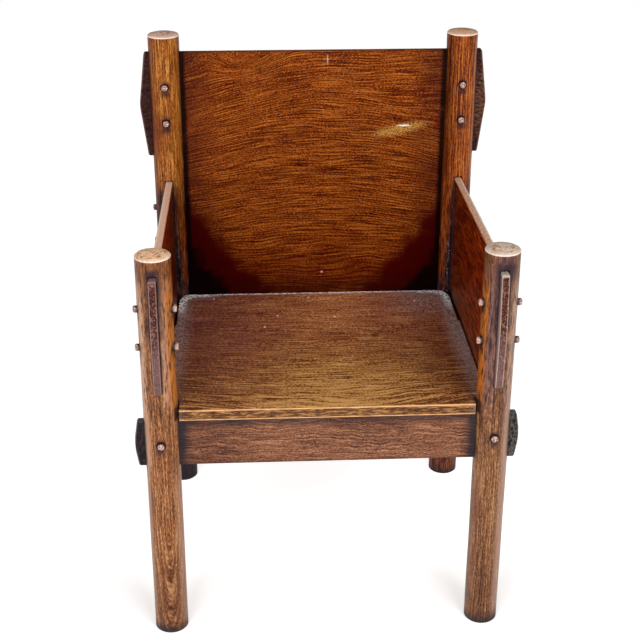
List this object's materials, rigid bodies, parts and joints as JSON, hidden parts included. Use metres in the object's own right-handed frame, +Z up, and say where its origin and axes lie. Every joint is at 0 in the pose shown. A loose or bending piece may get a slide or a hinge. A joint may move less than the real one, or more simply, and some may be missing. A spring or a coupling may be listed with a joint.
{
  "type": "plank_armchair",
  "caption": "Pegged oak plank armchair: solid back, side and seat boards held in round posts by peaked through tenons",
  "frame": {"origin": "on the floor, midway between the four posts", "axes": "+X to the right seen from the front, +Y to the back, +Z up; the chair faces -Y"},
  "size_m": [0.6192, 0.5754, 0.902],
  "materials": {
    "post_oak": "satin",
    "board_oak": "satin",
    "peg_oak": "satin"
  },
  "bodies": {
    "root": {"front_post_left": "post_oak", "rear_post_left": "post_oak", "front_post_right": "post_oak", "rear_post_right": "post_oak", "back_board": "board_oak", "seat_board": "board_oak", "front_apron": "board_oak", "rear_rail": "board_oak", "side_board_left": "board_oak", "side_board_right": "board_oak", "seat_cleat_left": "board_oak", "seat_cleat_right": "board_oak", "apron_peg_left": "peg_oak", "rear_rail_peg_left": "peg_oak", "back_peg_left_upper": "peg_oak", "front_side_peg_left_upper": "peg_oak", "rear_side_peg_left_upper": "peg_oak", "back_peg_left_lower": "peg_oak", "front_side_peg_left_lower": "peg_oak", "rear_side_peg_left_lower": "peg_oak", "apron_peg_right": "peg_oak", "rear_rail_peg_right": "peg_oak", "back_peg_right_upper": "peg_oak", "front_side_peg_right_upper": "peg_oak", "rear_side_peg_right_upper": "peg_oak", "back_peg_right_lower": "peg_oak", "front_side_peg_right_lower": "peg_oak", "rear_side_peg_right_lower": "peg_oak"}
  },
  "joints": []
}
